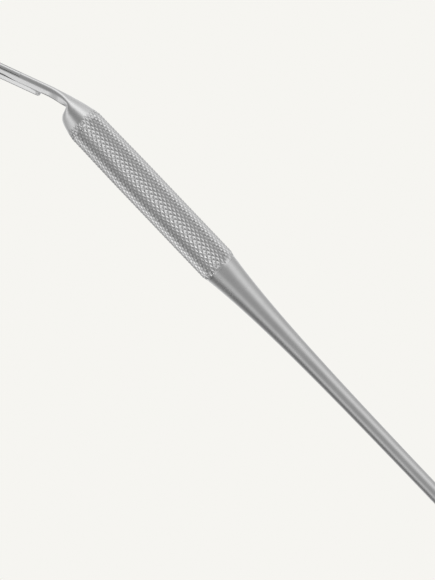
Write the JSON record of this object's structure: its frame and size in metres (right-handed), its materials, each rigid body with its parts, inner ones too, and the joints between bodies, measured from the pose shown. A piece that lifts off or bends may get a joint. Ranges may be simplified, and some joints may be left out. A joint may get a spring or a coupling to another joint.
{
  "type": "cuticle pusher",
  "caption": "Slim hand instrument with a diamond-knurled round grip, a long tapered rear shank, a cranked flat neck and a slide-on spade blade for pushing back cuticles.",
  "frame": {"origin": "centre of the flat rear end of the shank, on the handle's axis", "axes": "+X runs along the handle towards the blade, +Y is the side the neck cranks towards, +Z points out of the face of the tongue that carries the key"},
  "size_m": [0.1535, 0.0181, 0.008],
  "materials": {
    "grip_sleeve": "satin, rolled diamond knurl",
    "rear_shank": "satin",
    "tie_stud": "as turned",
    "blade_holder": "satin",
    "pusher_blade": "fine satin"
  },
  "bodies": {
    "handle": {"grip_sleeve": "grip_sleeve", "rear_shank": "rear_shank", "tie_stud": "tie_stud", "blade_holder": "blade_holder"},
    "blade": {"pusher_blade": "pusher_blade"}
  },
  "joints": [
    {"name": "blade_slide", "type": "slide", "parent": "handle", "child": "blade", "axis": [0.9205, 0.3907, 0], "range_m": [0, 0.016]}
  ]
}
